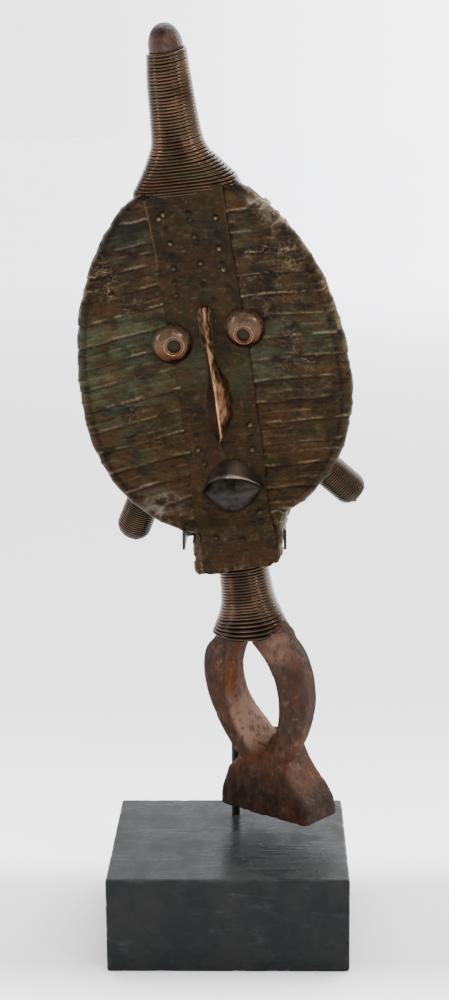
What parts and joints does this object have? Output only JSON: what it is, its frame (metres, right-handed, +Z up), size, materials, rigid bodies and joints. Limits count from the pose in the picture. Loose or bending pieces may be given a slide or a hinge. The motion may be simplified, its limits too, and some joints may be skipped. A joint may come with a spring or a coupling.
{
  "type": "reliquary guardian figure on a rod stand",
  "caption": "Wooden guardian figure with a lozenge foot, wire-bound neck, horns and topknot, and a dished oval face clad in hammered metal, held by a rod and cradle on a block.",
  "frame": {"origin": "middle of the block's underside", "axes": "+Z up, the figure faces -Y, +X to the viewer's right"},
  "size_m": [0.2002, 0.158, 0.6452],
  "materials": {
    "carved_wood": "dark red-brown carved wood, handled and oiled, satin, with tool facets and worn dark patches",
    "hammered_sheet": "aged hammered copper-alloy sheet, dark olive brown, low sheen, with small pushed-out bosses",
    "cheek_sheet": "thin hammered strips, dark olive with dull green patina and rubbed edges",
    "polished_copper": "rubbed copper, bright on the high places and dark in the hollows",
    "grey_metal": "dark grey beaten metal with soft facets, slightly burnished on the crease",
    "bound_wire": "close-wound copper wire, brown, rubbed lighter on the crests",
    "black_steel": "blackened steel, matt",
    "slate": "dark blue-grey honed block, soft sheen, worn edges"
  },
  "bodies": {
    "root": {"base_block": "slate", "cheek_strip_left_01": "cheek_sheet", "cheek_strip_left_02": "cheek_sheet", "cheek_strip_left_03": "cheek_sheet", "cheek_strip_left_04": "cheek_sheet", "cheek_strip_left_05": "cheek_sheet", "cheek_strip_left_06": "cheek_sheet", "cheek_strip_left_07": "cheek_sheet", "cheek_strip_left_08": "cheek_sheet", "cheek_strip_left_09": "cheek_sheet", "cheek_strip_left_10": "cheek_sheet", "cheek_strip_left_11": "cheek_sheet", "cheek_strip_left_12": "cheek_sheet", "cheek_strip_left_13": "cheek_sheet", "cheek_strip_left_14": "cheek_sheet", "cheek_strip_left_15": "cheek_sheet", "cheek_strip_left_16": "cheek_sheet", "cheek_strip_right_02": "cheek_sheet", "cheek_strip_right_03": "cheek_sheet", "cheek_strip_right_04": "cheek_sheet", "cheek_strip_right_05": "cheek_sheet", "cheek_strip_right_06": "cheek_sheet", "cheek_strip_right_07": "cheek_sheet", "cheek_strip_right_08": "cheek_sheet", "cheek_strip_right_09": "cheek_sheet", "cheek_strip_right_10": "cheek_sheet", "cheek_strip_right_11": "cheek_sheet", "cheek_strip_right_12": "cheek_sheet", "cheek_strip_right_13": "cheek_sheet", "cheek_strip_right_14": "cheek_sheet", "cheek_strip_right_15": "cheek_sheet", "cheek_strip_right_16": "cheek_sheet", "chin_side_sheet_left": "hammered_sheet", "chin_side_sheet_right": "hammered_sheet", "cradle_strap": "black_steel", "eye_left": "polished_copper", "eye_right": "polished_copper", "face_sheet": "hammered_sheet", "horn_winding_left": "bound_wire", "horn_winding_right": "bound_wire", "mouth": "grey_metal", "neck_winding": "bound_wire", "nose": "polished_copper", "stand_rod": "black_steel", "topknot_winding": "bound_wire", "wood_core": "carved_wood"}
  },
  "joints": []
}
